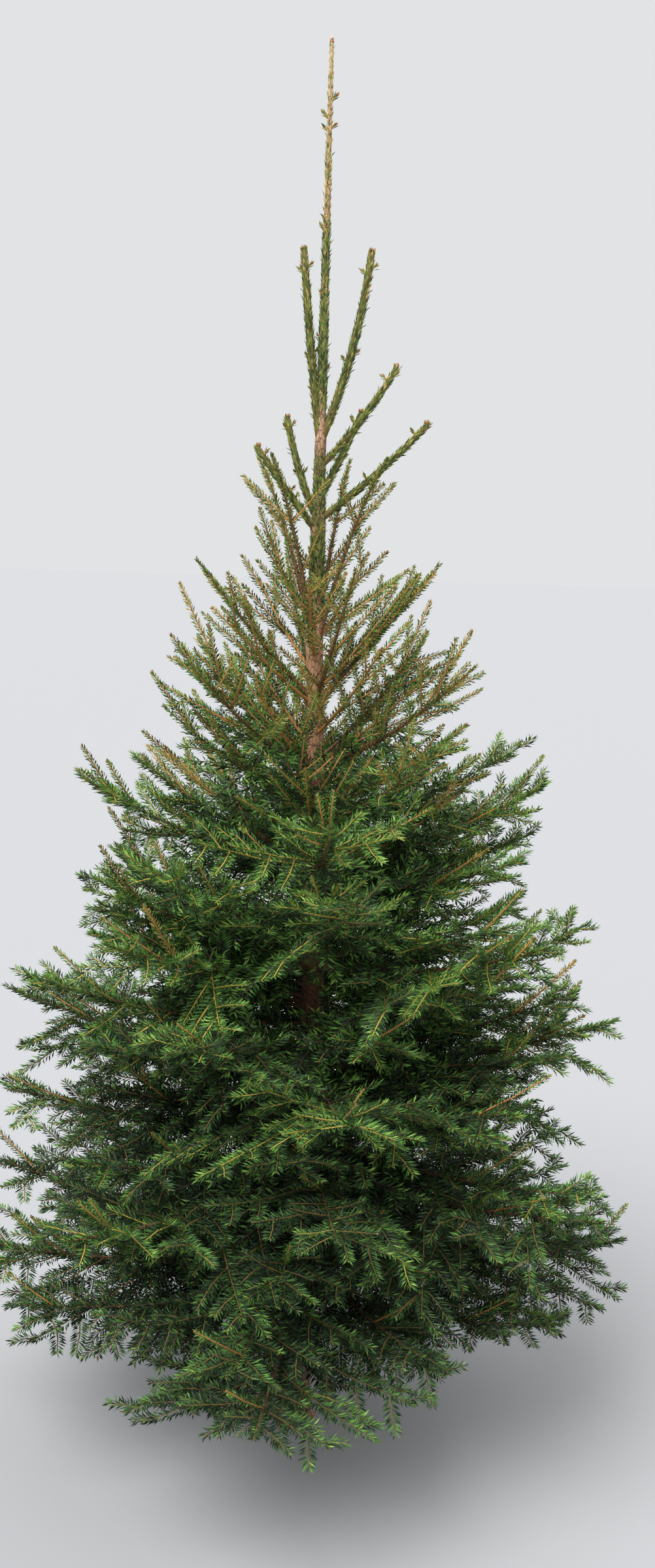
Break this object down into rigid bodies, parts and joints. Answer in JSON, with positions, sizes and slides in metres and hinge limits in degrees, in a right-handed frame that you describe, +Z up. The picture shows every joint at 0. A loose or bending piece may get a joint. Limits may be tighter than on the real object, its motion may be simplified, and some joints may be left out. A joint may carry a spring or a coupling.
{
  "type": "young spruce tree",
  "caption": "Young spruce rooted in the ground: a tapering trunk to the leader's tip, whorls of boughs and masses of needle sprays.",
  "frame": {"origin": "the middle of the trunk's flat cut at ground level", "axes": "+Z up along the trunk; -Y towards the viewer of the picture, +X to the viewer's right"},
  "size_m": [1.1949, 1.1932, 2.42],
  "materials": {
    "trunk_bark": "rough flaking bark",
    "bough_bark": "rough bark",
    "needles": "satin",
    "leader_needles": "satin"
  },
  "bodies": {
    "root": {"bough_1a": "bough_bark", "bough_1b": "bough_bark", "bough_1c": "bough_bark", "bough_1d": "bough_bark", "bough_2a": "bough_bark", "bough_2b": "bough_bark", "bough_2c": "bough_bark", "bough_2d": "bough_bark", "bough_3a": "bough_bark", "bough_3b": "bough_bark", "bough_3c": "bough_bark", "bough_3d": "bough_bark", "bough_4a": "bough_bark", "bough_4b": "bough_bark", "bough_4c": "bough_bark", "bough_4d": "bough_bark", "bough_5a": "bough_bark", "bough_5b": "bough_bark", "bough_5c": "bough_bark", "bough_5d": "bough_bark", "foliage_1a": "needles", "foliage_1b": "needles", "foliage_1c": "needles", "foliage_1d": "needles", "foliage_2a": "needles", "foliage_2b": "needles", "foliage_2c": "needles", "foliage_2d": "needles", "foliage_3a": "needles", "foliage_3b": "needles", "foliage_3c": "needles", "foliage_3d": "needles", "foliage_4a": "needles", "foliage_4b": "needles", "foliage_4c": "needles", "foliage_4d": "needles", "foliage_5a": "needles", "foliage_5b": "needles", "foliage_5c": "needles", "foliage_5d": "needles", "foliage_6a": "needles", "foliage_6b": "needles", "foliage_6c": "needles", "foliage_6d": "needles", "foliage_7a": "needles", "foliage_7b": "needles", "foliage_7c": "needles", "foliage_7d": "needles", "foliage_8a": "needles", "foliage_8b": "needles", "foliage_8c": "needles", "foliage_8d": "needles", "shoulder_shoot_back_right": "leader_needles", "shoulder_shoot_far_left": "leader_needles", "shoulder_shoot_far_right": "leader_needles", "shoulder_shoot_left": "leader_needles", "shoulder_shoot_right": "leader_needles", "top_shoot_left": "leader_needles", "top_shoot_right": "leader_needles", "trunk": "trunk_bark"}
  },
  "joints": []
}
